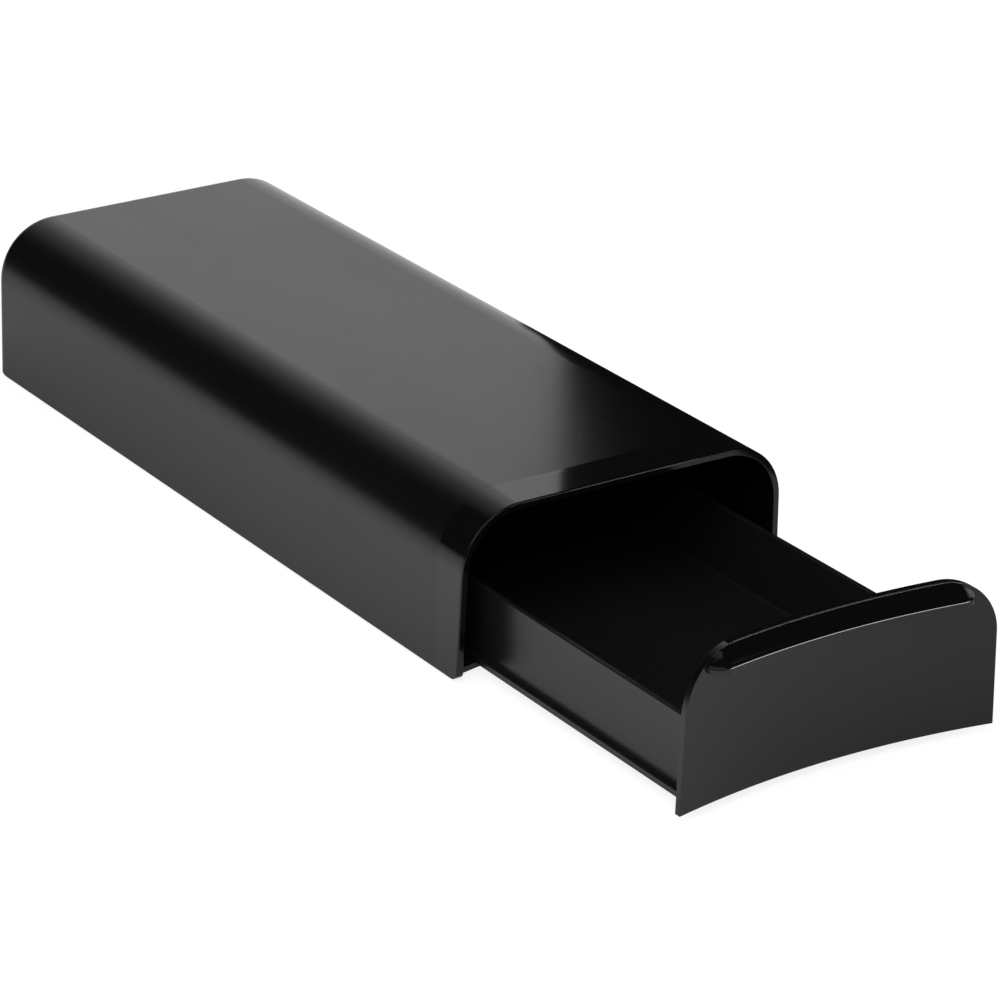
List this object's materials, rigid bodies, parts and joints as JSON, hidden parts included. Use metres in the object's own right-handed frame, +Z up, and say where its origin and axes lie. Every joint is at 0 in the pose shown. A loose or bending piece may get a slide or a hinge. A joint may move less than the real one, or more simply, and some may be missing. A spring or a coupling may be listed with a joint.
{
  "type": "coffee pod organizer",
  "caption": "Low black housing with rounded long edges and a pull-out tray drawer behind a bowed front with a hooked lip, for keeping coffee pods.",
  "frame": {"origin": "on the standing surface, under the middle of the overall length with the drawer partly open", "axes": "+X to the right of the drawer front as its user faces it, +Y to the back, +Z up"},
  "size_m": [0.129, 0.4504, 0.0602],
  "materials": {
    "shell_plastic": "satin to gloss",
    "inner_plastic": "matte",
    "steel": "zinc plated",
    "foot_rubber": "matte"
  },
  "bodies": {
    "housing": {"housing_shell": "shell_plastic", "base_plate": "inner_plastic", "base_screws": "steel", "guide_rail_left": "inner_plastic", "guide_rail_right": "inner_plastic", "foot_front_left": "foot_rubber", "foot_front_right": "foot_rubber", "foot_rear_left": "foot_rubber", "foot_rear_right": "foot_rubber"},
    "drawer": {"drawer_tray": "shell_plastic", "drawer_front": "shell_plastic", "front_screws": "steel"}
  },
  "joints": [
    {"name": "drawer_slide", "type": "slide", "parent": "housing", "child": "drawer", "axis": [0, -1, 0], "range_m": [-0.121, 0.129]}
  ]
}
